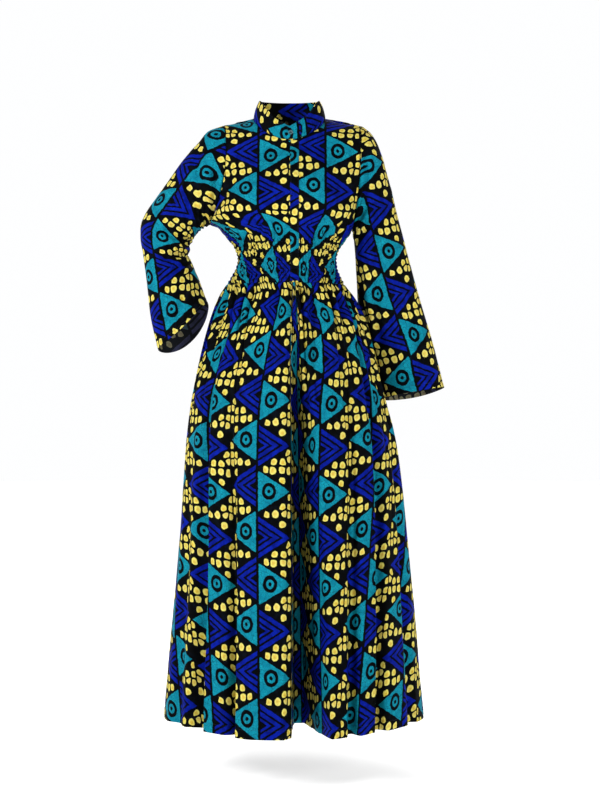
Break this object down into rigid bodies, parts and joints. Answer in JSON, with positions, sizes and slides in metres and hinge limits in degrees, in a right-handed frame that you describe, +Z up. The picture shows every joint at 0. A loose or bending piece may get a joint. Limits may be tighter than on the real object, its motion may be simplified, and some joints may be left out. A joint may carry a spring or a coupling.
{
  "type": "long wax-print dress with bell sleeves",
  "caption": "Long printed cotton dress as worn: stand collar with a button, placket, shirred waist, full gathered skirt and bell sleeves, one bent with its cuff at the hip.",
  "frame": {"origin": "where the wearer's shoulders hold the dress up: midway between the two points where the shoulder seams meet the collar", "axes": "+Z up along the standing figure, -Y is the front of the dress, +X is the side of the hanging left sleeve, which is on the viewer's right"},
  "size_m": [0.7365, 0.4955, 1.4852],
  "materials": {
    "printed_cotton": "waxed plain weave, slight sheen",
    "dark_shell": "polished"
  },
  "bodies": {
    "root": {"collar": "printed_cotton", "collar_button": "dark_shell", "placket": "printed_cotton", "bodice_front_right": "printed_cotton", "bodice_front_left": "printed_cotton", "bodice_back": "printed_cotton", "sleeve_right": "printed_cotton", "sleeve_left": "printed_cotton", "skirt_front": "printed_cotton", "skirt_back": "printed_cotton"}
  },
  "joints": []
}
